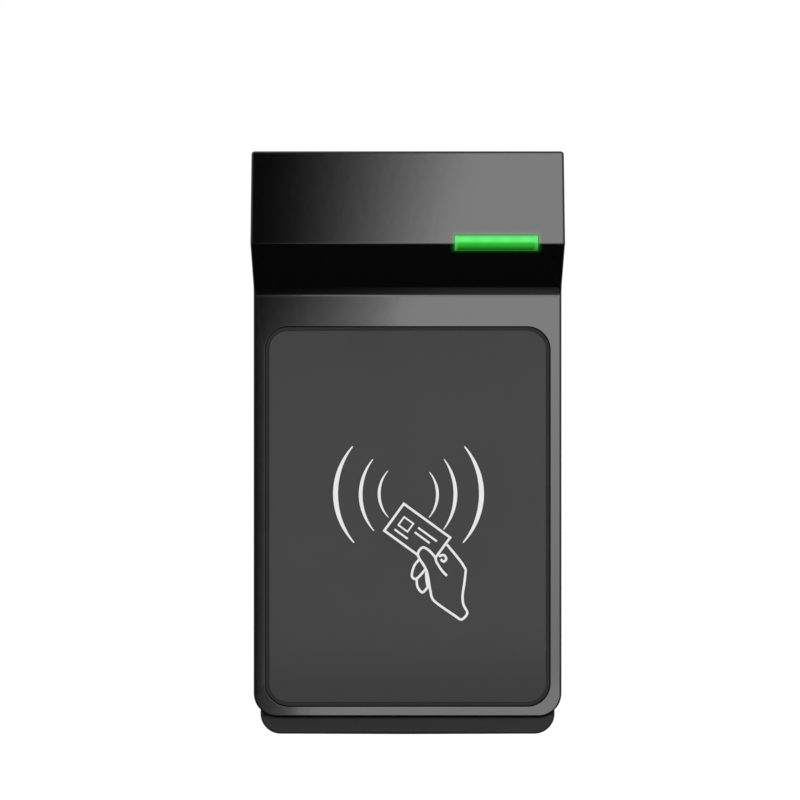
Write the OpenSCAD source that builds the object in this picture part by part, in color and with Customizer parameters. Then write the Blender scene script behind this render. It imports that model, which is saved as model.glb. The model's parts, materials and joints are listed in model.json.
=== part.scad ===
// Wall-mounted contactless ticket validator: a hooded reader unit that hangs on a wall base.
// The wall face lies in the XZ plane, +Z is up, and the reading face looks along -Y.
// A "depth" is a distance out from the wall, so a point at depth d has y = -d.

/* [Reader housing] */
// Width of the reader housing
body_w = 65; // [60:0.5:75]
// Height of the reader housing
body_h = 118.5; // [114:0.5:126]
// Depth of the reading face, out from the wall
face_depth = 16; // [15.5:0.1:18]
// Depth of the reader housing's rear edge
rear_depth = 7; // [6.9:0.1:7.2]
// Radius of the two lower corners
corner_r = 4.85; // [4:0.05:6]
// Wall behind the reading face and around the hood
wall = 2; // [1.8:0.1:2.2]

/* [Hood] */
// Height of the hood's sloping face
hood_h = 19.6; // [17:0.1:21]
// How far the hood's lower edge stands out from the reading face
hood_out = 9.1; // [8:0.1:10]
// How far the hood's upper edge stands out from the reading face
hood_top_out = 6; // [5:0.1:7.5]
// Height of the hood's sloping underside
hood_under_h = 8.95; // [8:0.05:10]
// Radius of the hollow corner between underside and reading face
root_r = 4.1; // [2:0.1:4.5]

/* [Reading panel] */
// Width of the panel's recess
recess_w = 60.2; // [56:0.1:61]
// Height of the panel's recess
recess_h = 80.15; // [76:0.05:82]
// Frame left below the recess
recess_margin = 2.1; // [2:0.1:3]
// Corner radius of the recess
recess_r = 4.9; // [3:0.1:5]
// Depth of the recess
recess_t = 1; // [0.8:0.05:1]
// Thickness of the panel sheet
panel_t = 0.8; // [0.5:0.05:0.8]
// Groove between panel and frame
panel_gap = 0.85; // [0.4:0.05:0.9]

/* [Status light] */
// Left end of the light bar, right of centre
light_x = 9.7; // [6:0.1:10.7]
// Length of the light bar
light_w = 17.2; // [12:0.1:17.2]
// Height of the light bar on the hood's face
light_up = 1.9; // [1:0.05:2]
// Height of the light bar on the hood's underside
light_down = 1.1; // [1:0.05:1.6]

/* [Wall base] */
// Width of the wall base
base_w = 62.5; // [61:0.1:63]
// How far the base's lip reaches below the reader
lip_below = 4.15; // [4.1:0.05:5]
// Depth of the lip's front
lip_depth = 13.6; // [13.5:0.1:14]
// Depth of the tray's rim
rim_depth = 6.6; // [6.4:0.1:6.6]
// Floor thickness
floor_t = 2; // [1.8:0.1:2]
// Distance between the two wall screw holes
screw_pitch = 83.3; // [80:0.1:85]
// Radius of a wall screw hole
wall_hole_r = 2.1; // [1.8:0.1:2.4]
// Radius of the cable entry
cable_r = 9; // [6:0.5:10]

/* [Hinge] */
// Radius of the hinge bar
bar_r = 1; // [0.9:0.05:1]
// Height of the hinge bar
pivot_z = 51; // [50.5:0.1:51]
// Depth of the hinge bar
pivot_depth = 4.4; // [4.4:0.05:4.5]
// How far the reader tilts out
swing_max = 18; // [10:1:18]

/* [Hidden] */

$fn = 64;
snug = 0.02;                // gap round a pressed or threaded part
play = 0.05;                // gap round a part that turns or slides
beyond = 1;                 // how far a cut runs past a face

// Reader housing
half_w = body_w / 2;
top_z = body_h / 2;
bottom_z = -body_h / 2;
edge_z = top_z - hood_h;                    // the hood's lower edge
root_z = edge_z - hood_under_h;             // where the underside meets the reading face
edge_depth = face_depth + hood_out;
crown_depth = face_depth + hood_top_out;
top_corner_r = 0.7;
seat_inset = 1.6;                           // side wall beside the back cover
ledge_inset = 3;                            // side wall in front of the back cover
cover_t = 2.2;
cover_front = rear_depth + cover_t;
seal_t = 0.6;
ledge_depth = cover_front + seal_t;
inner_face = face_depth - wall;

// Reading panel
recess_floor = face_depth - recess_t;
recess_z = bottom_z + recess_margin;

// Wall base
base_half_w = base_w / 2;
base_bottom = bottom_z - lip_below;
base_top = 55.2;
base_corner_r = 4.3;
base_top_r = 2;
rim_t = 1.6;
lip_gap = 0.4;
lip_top = bottom_z - lip_gap;
seal_inset = 2.5;
seal_w = 2;
seal_groove = 1;

// Hinge
hook_r = 2.1;
hook_w = 7;
hook_x = 13;
lug_top = 1.4;                              // how far a lug reaches above the bar's axis
swing_gap = 0.5;                            // extra tilt that the relief leaves, in degrees

// Fasteners
cover_screw_x = 27;
cover_screw_z = 53.8;
cover_boss_r = 3;
cover_shank_r = 1.2;
board_screw_x = 23.5;
board_screw_low = 14;
board_screw_high = 46.5;
board_boss_r = 2.4;
board_shank_r = 0.95;
lock_depth = 11.2;
lock_r = 1.2;
lock_len = 3.4;
lock_hole_r = 1.4;
insert_r = 1.75;

// Main board
board_rear = 10.6;
board_t = 1.6;
board_front = board_rear + board_t;
board_half_w = 27.5;
board_low = 10.5;
board_high = 50.5;

// Light bar
face_dir = unit([crown_depth - edge_depth, hood_h]);
under_dir = unit([-hood_out, -hood_under_h]);
light_inner = edge_depth - 4;
stem_low = edge_z - 0.75;
stem_high = stem_low + 2.2;
led_h = 1.2;
led_count = 4;
led_pitch = 4.1;
led_z = (stem_low + stem_high) / 2;
light_mid = light_x + light_w / 2;

// Terminal block
poles = 8;
pole_pitch = 3.5;
block_half_w = poles * pole_pitch / 2 + 0.5;
block_low = 20;
block_high = 27.6;
block_rear = 3.4;

// Antenna
pad_t = 0.5;
antenna_t = 1;
antenna_rear = inner_face - pad_t - antenna_t;
antenna_half_w = 25;
antenna_low = -50;
antenna_high = 8;
track_t = 0.1;
track_w = 1;
track_pitch = 1.6;
turns = 4;
coil_half_w = 22.5;
coil_half_h = 24.5;
coil_z = -22.5;
lead_x = 3;
lead_z = 6.2;
lead_r = 0.35;

// Tamper switch and plunger
tamper_x = 21;
tamper_z = 24;
switch_h = 1.15;
guide_r = 3.8;
guide_bore_r = 2.6;
guide_end = 2.6;
pin_r = 1.5;
flange_t = 1;
plunger_out = 1.5;                          // travel when the reader leaves the wall
flange_rear = guide_end + 1 + plunger_out + play;
spring_r = 1.9;
spring_wire_r = 0.22;
spring_turns = 5;

// ---- helpers ----

function unit(v) = v / norm(v);
function left_normal(v) = [-v[1], v[0]] / norm(v);
function arc(c, r, a0, a1, steps) =
  [for (i = [0:steps]) let (a = a0 + (a1 - a0) * i / steps) c + r * [cos(a), sin(a)]];

// A rectangle centred on x = 0
module plate(hw, z0, z1) {
  translate([-hw, z0]) square([2 * hw, z1 - z0]);
}

// The same with its lower and upper corners rounded
module rounded(hw, z0, z1, r_low, r_high) {
  plate(hw, z0 + r_low, z1 - r_high);
  plate(hw - r_low, z0, z1 - r_high);
  plate(hw - r_high, z0 + r_low, z1);
  for (side = [-1, 1]) {
    translate([side * (hw - r_low), z0 + r_low]) circle(r = r_low);
    translate([side * (hw - r_high), z1 - r_high]) circle(r = r_high);
  }
}

// An anticlockwise outline with every side moved inwards by t
function inset(points, t) = let (n = len(points))
  [for (i = [0:n - 1]) let (
    a = points[(i + n - 1) % n],
    b = points[i],
    c = points[(i + 1) % n],
    n1 = left_normal(b - a),
    n2 = left_normal(c - b)) b + t * (n1 + n2) / (1 + n1 * n2)];

// A front-view outline as a slab from depth d0 to d1
module slab(d0, d1) {
  translate([0, -d0, 0]) rotate([90, 0, 0]) linear_extrude(d1 - d0) children();
}

// A side-view outline, drawn as (depth, z), from x0 to x1
module across(x0, x1) {
  translate([x1, 0, 0]) rotate([90, 0, -90]) linear_extrude(x1 - x0) children();
}

// A round rod along the depth at (x, z)
module rod(x, z, d0, d1, r) {
  translate([x, -d0, z]) rotate([90, 0, 0]) cylinder(h = d1 - d0, r = r);
}

// A box from its corners, as x, depth and z
module block(x0, x1, d0, d1, z0, z1) {
  translate([x0, -d1, z0]) cube([x1 - x0, d1 - d0, z1 - z0]);
}

// Tilts what hangs on the hinge bar outwards
module swing(angle) {
  translate([0, -pivot_depth, pivot_z]) rotate([-angle, 0, 0]) translate([0, pivot_depth, -pivot_z])
    children();
}

// A round tube along a path, with its rings squared against the direction `axis`
module tube(path, r, sides, axis) {
  n = len(path);
  rings = [for (i = [0:n - 1]) let (
    t = unit(path[min(i + 1, n - 1)] - path[max(i - 1, 0)]),
    u = unit(cross(t, axis)),
    v = cross(t, u)) each [for (k = [0:sides - 1]) let (a = 360 * k / sides)
      path[i] + r * (cos(a) * u + sin(a) * v)]];
  start = [for (k = [sides - 1:-1:0]) k];
  finish = [for (k = [0:sides - 1]) (n - 1) * sides + k];
  walls = [for (i = [0:n - 2], k = [0:sides - 1]) let (k2 = (k + 1) % sides)
    [i * sides + k, i * sides + k2, (i + 1) * sides + k2, (i + 1) * sides + k]];
  polyhedron(points = rings, faces = [for (f = concat([start], walls, [finish])) [for (i = [len(f) - 1:-1:0]) f[i]]]);
}

module at_cover_screws() {
  for (x = [-cover_screw_x, cover_screw_x], z = [-cover_screw_z, cover_screw_z])
    translate([x, 0, z]) children();
}

module at_board_screws() {
  for (x = [-board_screw_x, board_screw_x], z = [board_screw_low, board_screw_high])
    translate([x, 0, z]) children();
}

// ---- wall base ----

module base_outline() {
  rounded(base_half_w, base_bottom, base_top, base_corner_r, base_top_r);
}

// The seal's loop, from `a` to `b` inside the base's outline
module seal_loop(a, b) {
  difference() {
    rounded(base_half_w - a, base_bottom + a, base_top - a, 3, 3);
    rounded(base_half_w - b, base_bottom + b, base_top - b, 1.5, 1.5);
  }
}

module hinge_lug(x, w) {
  difference() {
    block(x - w / 2, x + w / 2, floor_t - 0.5, 6.2, pivot_z - lug_top - 0.6, pivot_z + lug_top);
    translate([x - w, -pivot_depth, pivot_z]) rotate([0, 90, 0]) cylinder(h = 2 * w, r = bar_r + snug);
  }
}

module wall_base() color("#1b1b1c") {
  difference() {
    union() {
      slab(0, rim_depth) base_outline();
      slab(0, lip_depth) difference() {
        base_outline();
        rounded(half_w + lip_gap, lip_top, top_z + beyond, corner_r + lip_gap, 1);
      }
    }
    slab(floor_t, rim_depth + beyond)
      rounded(base_half_w - rim_t, bottom_z + 1.25, base_top - rim_t, 2.6, 1);
    slab(-beyond, seal_groove) seal_loop(seal_inset, seal_inset + seal_w);
    swing(swing_max + swing_gap)
      block(-body_w, body_w, rear_depth - 0.2, 40, pivot_z - 6, top_z + beyond);
    rod(0, 0, -beyond, rim_depth, cable_r);
    for (z = [-screw_pitch / 2, screw_pitch / 2]) rod(0, z, -beyond, rim_depth, wall_hole_r);
    rod(tamper_x, tamper_z, -beyond, rim_depth, pin_r + 0.9);
    translate([0, -lock_depth, base_bottom - beyond]) cylinder(h = 8, r = insert_r + snug);
  }
  hinge_lug(0, 8);
  hinge_lug(-23, 5);
  hinge_lug(23, 5);
}

module wall_seal() color("#2b2b2b")
  slab(0, seal_groove - play) seal_loop(seal_inset + play, seal_inset + seal_w - play);

module hinge_bar() color("#b8bcc0")
  translate([-26, -pivot_depth, pivot_z]) rotate([0, 90, 0]) cylinder(h = 52, r = bar_r);

module screw_insert() color("#c9a14a")
  translate([0, -lock_depth, base_bottom + 0.1]) difference() {
    cylinder(h = lip_below - lip_gap - 0.2, r = insert_r);
    translate([0, 0, -beyond]) cylinder(h = lip_below + 2, r = lock_r + play);
  }

module lock_screw() color("#9aa0a5")
  translate([0, -lock_depth, lip_top - 0.1 - lock_len]) difference() {
    cylinder(h = lock_len, r = lock_r);
    translate([0, 0, -beyond]) cylinder(h = beyond + 1.6, r = 0.73, $fn = 6);
  }

// ---- reader housing ----

module housing_outline(t) {
  high_r = max(top_corner_r, t > 0 ? 1 : 0);
  rounded(half_w - t, bottom_z + t, top_z - t, corner_r - t, high_r);
}

// The housing seen from the side, without its root radius
side_line = [
  [rear_depth, bottom_z], [face_depth, bottom_z], [face_depth, root_z],
  [edge_depth, edge_z], [crown_depth, top_z], [rear_depth, top_z]];

// The same with the hollow radius where the underside meets the reading face
slope = atan2(hood_under_h, hood_out);
root_centre = [face_depth + root_r, root_z - root_r * (1 - sin(slope)) / cos(slope)];
side_line_rounded = concat(
  [[rear_depth, bottom_z], [face_depth, bottom_z]],
  arc(root_centre, root_r, 180, 90 + slope, 8),
  [[edge_depth, edge_z], [crown_depth, top_z], [rear_depth, top_z]]);

// The light bar's head: a wedge that wraps the hood's lower edge, standing `proud` of it
function light_head(proud, grow) = [
  [light_inner, edge_z + under_dir[1] * light_down - grow],
  [edge_depth + under_dir[0] * light_down, edge_z + under_dir[1] * light_down - grow] + proud * [0.7, -0.7],
  [edge_depth + proud, edge_z - proud * 0.4],
  [edge_depth + face_dir[0] * light_up + proud, edge_z + face_dir[1] * light_up + grow],
  [light_inner, edge_z + face_dir[1] * light_up + grow]];

module recess_outline(t) {
  rounded(recess_w / 2 - t, recess_z + t, recess_z + recess_h - t, recess_r - t, recess_r - t);
}

module front_housing() color("#141415") {
  cavity = inset([for (p = side_line) [p[0] == rear_depth ? 0 : p[0], p[1]]], wall);
  difference() {
    union() {
      difference() {
        intersection() {
          slab(rear_depth, edge_depth + beyond) housing_outline(0);
          across(-half_w, half_w) polygon(side_line_rounded);
        }
        slab(rear_depth - beyond, ledge_depth) housing_outline(seat_inset);
        intersection() {
          slab(ledge_depth - beyond, edge_depth) housing_outline(ledge_inset);
          across(-half_w, half_w) polygon(cavity);
        }
      }
      intersection() {
        union() {
          at_cover_screws() rod(0, 0, ledge_depth, edge_depth, cover_boss_r);
          at_board_screws() rod(0, 0, board_front, edge_depth, board_boss_r);
        }
        slab(rear_depth, edge_depth) housing_outline(1);
        across(-half_w, half_w) polygon(inset(side_line, 0.9));
      }
    }
    slab(recess_floor, face_depth + beyond) recess_outline(0);
    across(light_x, light_x + light_w) polygon(light_head(1, 0));
    at_cover_screws() rod(0, 0, ledge_depth - beyond, inner_face + 0.2, cover_shank_r + snug);
    at_board_screws() rod(0, 0, board_front - beyond, inner_face + 0.4, board_shank_r + snug);
    translate([0, -lock_depth, bottom_z - beyond]) cylinder(h = beyond + 2.2, r = lock_hole_r);
  }
}

module reading_panel() color("#464646")
  slab(recess_floor, recess_floor + panel_t) recess_outline(panel_gap);

module panel_gasket() color("#101010")
  slab(recess_floor, recess_floor + 0.3) difference() {
    recess_outline(play);
    recess_outline(panel_gap - play);
  }

module light_pipe() color("#2fd04a") {
  across(light_x + play, light_x + light_w - play) polygon(light_head(0.12, -play));
  block(light_x + 0.4, light_x + light_w - 0.4, board_front + led_h + 0.3, light_inner + 0.2,
        stem_low, stem_high);
}

module light_shroud() color("#e8e8e4")
  difference() {
    block(light_x - 0.5, light_x + light_w + 0.4, board_front, board_front + 6, stem_low - 0.9, stem_high + 0.9);
    block(light_x + 0.2, light_x + light_w - 0.2, board_front - beyond, board_front + 8,
          stem_low - 0.1, stem_high + 0.1);
  }

// ---- back cover ----

module hook(x) {
  across(x - hook_w / 2, x + hook_w / 2) difference() {
    union() {
      translate([pivot_depth, pivot_z]) circle(r = hook_r);
      translate([pivot_depth, pivot_z - 0.8]) square([rear_depth - pivot_depth + 0.5, hook_r + 0.2]);
    }
    translate([pivot_depth, pivot_z]) circle(r = bar_r + play);
    translate([pivot_depth - bar_r - play, pivot_z - 4]) square([2 * (bar_r + play), 4]);
  }
}

module back_cover() color("#19191a") {
  gap = seat_inset + 0.15;
  difference() {
    union() {
      slab(rear_depth, cover_front) housing_outline(gap);
      at_cover_screws() rod(0, 0, cover_front - 0.2, ledge_depth - play, 2.3);
      rod(tamper_x, tamper_z, guide_end, cover_front - 0.4, guide_r);
    }
    at_cover_screws() {
      rod(0, 0, rear_depth - beyond, rear_depth + 1.25, 2.5);
      rod(0, 0, rear_depth, ledge_depth + beyond, 1.4);
    }
    block(-block_half_w - 1, block_half_w + 1, rear_depth - beyond, cover_front + beyond,
          block_low - 0.8, block_high + 0.8);
    rod(tamper_x, tamper_z, guide_end + 1, cover_front + beyond, guide_bore_r);
    rod(tamper_x, tamper_z, guide_end - beyond, guide_end + 2, pin_r + play);
  }
  hook(-hook_x);
  hook(hook_x);
}

module cover_seal() color("#3a3a3a")
  slab(cover_front, ledge_depth - play) difference() {
    housing_outline(seat_inset + 0.2);
    housing_outline(ledge_inset - 0.1);
  }

module cover_screws() color("#a9adb1")
  at_cover_screws() difference() {
    union() {
      rod(0, 0, rear_depth + 0.05, rear_depth + 1.25, 2.4);
      rod(0, 0, rear_depth + 1, inner_face, cover_shank_r);
    }
    for (turn = [0, 90]) rotate([0, turn, 0])
      block(-1.4, 1.4, rear_depth - beyond, rear_depth + 0.75, -0.3, 0.3);
  }

// ---- electronics ----

module main_board() color("#1e5a34")
  difference() {
    slab(board_rear, board_front) rounded(board_half_w, board_low, board_high, 1.5, 1.5);
    at_board_screws() rod(0, 0, board_rear - beyond, board_front + beyond, 1.1);
  }

module board_screws() color("#a9adb1")
  at_board_screws() difference() {
    union() {
      rod(0, 0, board_rear - 1, board_rear, 1.9);
      rod(0, 0, board_rear - 0.5, inner_face + 0.2, board_shank_r);
    }
    for (turn = [0, 90]) rotate([0, turn, 0])
      block(-1.1, 1.1, board_rear - 2, board_rear - 0.5, -0.22, 0.22);
  }

// A flat chip on the board's front, with `legs` leads on each side that has them
module chip(x, z, w, h, t, legs, reach, four_sided) {
  lead_w = 0.25;
  pitch = w / (legs + 1);
  block(x - w / 2, x + w / 2, board_front + 0.08, board_front + t, z - h / 2, z + h / 2);
  for (i = [1:legs]) {
    along = -w / 2 + pitch * i;
    block(x + along - lead_w / 2, x + along + lead_w / 2, board_front, board_front + 0.2,
          z - h / 2 - reach, z + h / 2 + reach);
    if (four_sided)
      block(x - w / 2 - reach, x + w / 2 + reach, board_front, board_front + 0.2,
            z + along - lead_w / 2, z + along + lead_w / 2);
  }
}

module reader_chip() color("#202022") chip(0, 16.5, 5, 5, 0.95, 8, 0.15, true);

module controller_chip() color("#202022") chip(-13, 26.5, 7, 7, 1.4, 12, 1, true);

module regulator_chip() color("#202022") chip(15, 30, 6.5, 3.5, 1.5, 3, 1.6, false);

module crystal() color("#c5c8ca") {
  block(-5.6, -2.4, board_front, board_front + 0.3, 24.8, 28);
  block(-5.4, -2.6, board_front + 0.2, board_front + 0.8, 25, 27.8);
}

// Two rows of chip resistors and capacitors beside the chips
module small_parts() color("#b89b6a") {
  for (i = [0:5]) {
    block(3.4 + i * 2, 4.4 + i * 2, board_front, board_front + 0.6, 21, 22.8);
    block(-18 + i * 2, -17 + i * 2, board_front, board_front + 0.6, 16, 17.8);
  }
  for (i = [0:3]) block(2 + i * 2.2, 3.2 + i * 2.2, board_front, board_front + 0.8, 34, 36);
}

module bulk_capacitor() color("#c9ccce") {
  rod(1.5, 44.5, board_front + 0.6, board_front + 7.6, 3.15);
  block(-1.7, 4.7, board_front, board_front + 0.8, 41.3, 47.7);
}

module sounder() color("#161616")
  difference() {
    rod(-13, 43.5, board_front, board_front + 6.5, 6);
    rod(-13, 43.5, board_front + 5.7, board_front + 8, 1);
  }

module status_leds() color("#f2f2e6")
  for (i = [0:led_count - 1]) {
    x = light_mid + (i - (led_count - 1) / 2) * led_pitch;
    block(x - 1.5, x + 1.5, board_front, board_front + led_h, led_z - 0.9, led_z + 0.9);
  }

function pole_x(i) = (i - (poles - 1) / 2) * pole_pitch;

module terminal_block() color("#1f6b3a")
  difference() {
    block(-block_half_w, block_half_w, block_rear, board_rear, block_low, block_high);
    for (i = [0:poles - 1]) {
      block(pole_x(i) - 1.3, pole_x(i) + 1.3, block_rear + 2.6, block_rear + 5.2, block_low - beyond, block_low + 5);
      rod(pole_x(i), block_low + 3, block_rear - beyond, block_rear + 3, 1.35);
    }
  }

module terminal_screws() color("#b5babd")
  for (i = [0:poles - 1]) difference() {
    rod(pole_x(i), block_low + 3, block_rear + 0.5, block_rear + 2.55, 1.25);
    block(pole_x(i) - 1.4, pole_x(i) + 1.4, block_rear, block_rear + 0.9, block_low + 2.8, block_low + 3.2);
  }

module terminal_clamps() color("#c7b26a")
  for (i = [0:poles - 1]) difference() {
    block(pole_x(i) - 1.2, pole_x(i) + 1.2, block_rear + 2.65, block_rear + 5.1, block_low + 0.6, block_low + 4.6);
    block(pole_x(i) - 0.9, pole_x(i) + 0.9, block_rear + 3, block_rear + 4.8, block_low - beyond, block_low + 8);
  }

// ---- antenna ----

module antenna_pad() color("#d8d4c8")
  slab(inner_face - pad_t, inner_face) plate(antenna_half_w - 2, antenna_low + 2, antenna_high - 2);

module antenna_board() color("#1e5a34")
  slab(antenna_rear, antenna_rear + antenna_t)
    rounded(antenna_half_w, antenna_low, antenna_high, 1, 1);

// A straight piece of track from p to q, along X or Z
module track(p, q) {
  low = [min(p[0], q[0]), min(p[1], q[1])] - [track_w, track_w] / 2;
  high = [max(p[0], q[0]), max(p[1], q[1])] + [track_w, track_w] / 2;
  translate(low) square(high - low);
}

// One square spiral of copper track, from the left lead inwards and out to the right lead
module antenna_coil() color("#c87533") {
  top = coil_z + coil_half_h;
  corners = [for (i = [0:turns - 1]) let (t = i * track_pitch) each [
    [-coil_half_w + t, top - t],
    [-coil_half_w + t, coil_z - coil_half_h + t],
    [coil_half_w - t, coil_z - coil_half_h + t],
    [coil_half_w - t, top - t - track_pitch]]];
  path = concat([[-lead_x, lead_z + 0.8], [-lead_x, top]], corners);
  last = corners[len(corners) - 1];
  slab(antenna_rear - track_t, antenna_rear) {
    for (i = [0:len(path) - 2])
      track(path[i], abs(path[i][0] - path[i + 1][0]) < 0.01 || abs(path[i][1] - path[i + 1][1]) < 0.01
        ? path[i + 1] : [path[i + 1][0], path[i][1]]);
    track(last, [lead_x + 1, last[1]]);
    track([lead_x, lead_z + 0.8], [lead_x, top]);
  }
}

module ferrite_sheet() color("#4a4744")
  slab(antenna_rear - track_t - 0.35, antenna_rear - track_t - play)
    plate(antenna_half_w - 1, antenna_low + 1, coil_z + coil_half_h + 1);

// Two insulated leads that bridge from the antenna board to the main board's rear
module antenna_leads() color("#c8332b") {
  run = board_rear - 0.45;
  for (x = [-lead_x, lead_x])
    tube([for (p = concat(
        [[antenna_rear - track_t, lead_z]],
        arc([run + 0.7, lead_z + 0.7], -0.7, 90, 0, 4),
        arc([run + 0.4, 12.2], 0.4, 180, 90, 3))) [x, -p[0], p[1]]],
      lead_r, 10, [1, 0, 0]);
}

// ---- tamper switch ----

module tamper_switch() color("#2a2a2a") {
  block(tamper_x - 2.2, tamper_x + 2.2, board_rear - 0.8, board_rear, tamper_z - 2.2, tamper_z + 2.2);
  rod(tamper_x, tamper_z, board_rear - switch_h, board_rear - 0.5, 1.1);
}

module tamper_spring() color("#c9cdd0") {
  low = flange_rear + flange_t + spring_wire_r;
  high = board_rear - 0.8 - spring_wire_r;
  steps = spring_turns * 16;
  tube([for (i = [0:steps]) let (a = 360 * spring_turns * i / steps)
      [tamper_x + spring_r * cos(a), -(low + (high - low) * i / steps), tamper_z + spring_r * sin(a)]],
    spring_wire_r, 8, [0, 1, 0]);
}

module tamper_plunger() color("#e6e3da") {
  rod(tamper_x, tamper_z, 0, flange_rear + 0.3, pin_r);
  rod(tamper_x, tamper_z, flange_rear, flange_rear + flange_t, guide_bore_r - 0.1);
  rod(tamper_x, tamper_z, flange_rear, board_rear - switch_h - play, 1.1);
}

// ---- one node at a time ----

wall_base();
wall_seal();
hinge_bar();
screw_insert();
front_housing();
reading_panel();
panel_gasket();
light_pipe();
light_shroud();
back_cover();
cover_seal();
cover_screws();
main_board();
board_screws();
reader_chip();
controller_chip();
regulator_chip();
crystal();
small_parts();
bulk_capacitor();
sounder();
status_leds();
terminal_block();
terminal_screws();
terminal_clamps();
antenna_pad();
antenna_board();
antenna_coil();
ferrite_sheet();
antenna_leads();
tamper_switch();
tamper_spring();
tamper_plunger();
lock_screw();
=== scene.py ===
import json
import math

import bmesh
import bpy
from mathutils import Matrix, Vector

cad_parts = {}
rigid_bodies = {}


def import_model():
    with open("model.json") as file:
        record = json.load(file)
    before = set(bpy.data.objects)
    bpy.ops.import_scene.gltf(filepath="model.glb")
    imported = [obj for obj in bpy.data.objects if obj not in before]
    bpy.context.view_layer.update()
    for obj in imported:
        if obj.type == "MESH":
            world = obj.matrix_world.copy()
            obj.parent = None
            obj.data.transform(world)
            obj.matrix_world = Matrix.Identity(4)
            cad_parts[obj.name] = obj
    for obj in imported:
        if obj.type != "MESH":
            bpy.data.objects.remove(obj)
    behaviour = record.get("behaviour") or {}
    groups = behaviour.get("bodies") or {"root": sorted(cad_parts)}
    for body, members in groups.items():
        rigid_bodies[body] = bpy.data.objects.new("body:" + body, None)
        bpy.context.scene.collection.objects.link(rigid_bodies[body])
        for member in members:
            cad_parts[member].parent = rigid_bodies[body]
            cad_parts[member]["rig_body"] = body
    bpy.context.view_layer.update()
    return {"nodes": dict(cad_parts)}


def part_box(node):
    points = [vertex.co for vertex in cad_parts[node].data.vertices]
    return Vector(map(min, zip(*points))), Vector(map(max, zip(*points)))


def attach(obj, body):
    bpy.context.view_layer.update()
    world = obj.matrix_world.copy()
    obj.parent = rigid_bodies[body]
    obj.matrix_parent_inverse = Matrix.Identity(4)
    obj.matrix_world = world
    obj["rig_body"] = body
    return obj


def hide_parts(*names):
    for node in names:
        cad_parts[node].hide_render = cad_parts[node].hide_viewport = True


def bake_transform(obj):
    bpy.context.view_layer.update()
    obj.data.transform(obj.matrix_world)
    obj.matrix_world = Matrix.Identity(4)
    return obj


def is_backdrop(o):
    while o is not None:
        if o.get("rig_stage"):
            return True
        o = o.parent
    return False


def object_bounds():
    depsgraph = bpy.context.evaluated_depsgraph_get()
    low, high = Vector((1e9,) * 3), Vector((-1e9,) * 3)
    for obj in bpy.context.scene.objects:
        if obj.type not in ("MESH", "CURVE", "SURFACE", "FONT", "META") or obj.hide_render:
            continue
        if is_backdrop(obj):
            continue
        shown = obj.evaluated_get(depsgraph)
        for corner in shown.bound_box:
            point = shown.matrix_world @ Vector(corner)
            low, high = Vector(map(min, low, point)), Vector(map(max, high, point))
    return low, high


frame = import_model()

MM = 0.001

# ---- Wall base ----
# The shallow tray that is screwed to the wall, injection-moulded in black ABS with a fine
# spark-eroded grain. Its lip carries the lock screw and its lugs hold the hinge bar.


def both_ways(operation):
    """An operator and its reflected form."""
    return (lambda self, other: self.bench.sum(operation, self, other),
            lambda self, other: self.bench.sum(operation, other, self))


class Value:
    """One output of a node, which can stand in a sum."""

    def __init__(self, bench, socket):
        self.bench = bench
        self.socket = socket

    __add__, __radd__ = both_ways("ADD")
    __sub__, __rsub__ = both_ways("SUBTRACT")
    __mul__, __rmul__ = both_ways("MULTIPLY")
    __truediv__, __rtruediv__ = both_ways("DIVIDE")
    __pow__, __rpow__ = both_ways("POWER")
    __gt__, __lt__ = both_ways("GREATER_THAN")

    def __abs__(self):
        return self.bench.sum("ABSOLUTE", self)


class Bench:
    """A node tree under construction."""

    def node(self, kind, settings=None, sockets=None, out=0):
        made = self.tree.nodes.new(kind)
        for key, value in (settings or {}).items():
            setattr(made, key, value)
        for key, value in (sockets or {}).items():
            self.put(made.inputs[key], value)
        return made if out is None else Value(self, made.outputs[out])

    def put(self, socket, value):
        if isinstance(value, Value):
            self.tree.links.new(value.socket, socket)
        else:
            socket.default_value = value

    def sum(self, operation, first, second=0.0):
        return self.node("ShaderNodeMath", {"operation": operation}, {0: first, 1: second})

    def place(self):
        return self.node("ShaderNodeTexCoord", out="Object")

    def along(self, axis):
        return self.node("ShaderNodeSeparateXYZ", {}, {0: self.place()}, out=axis)


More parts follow.
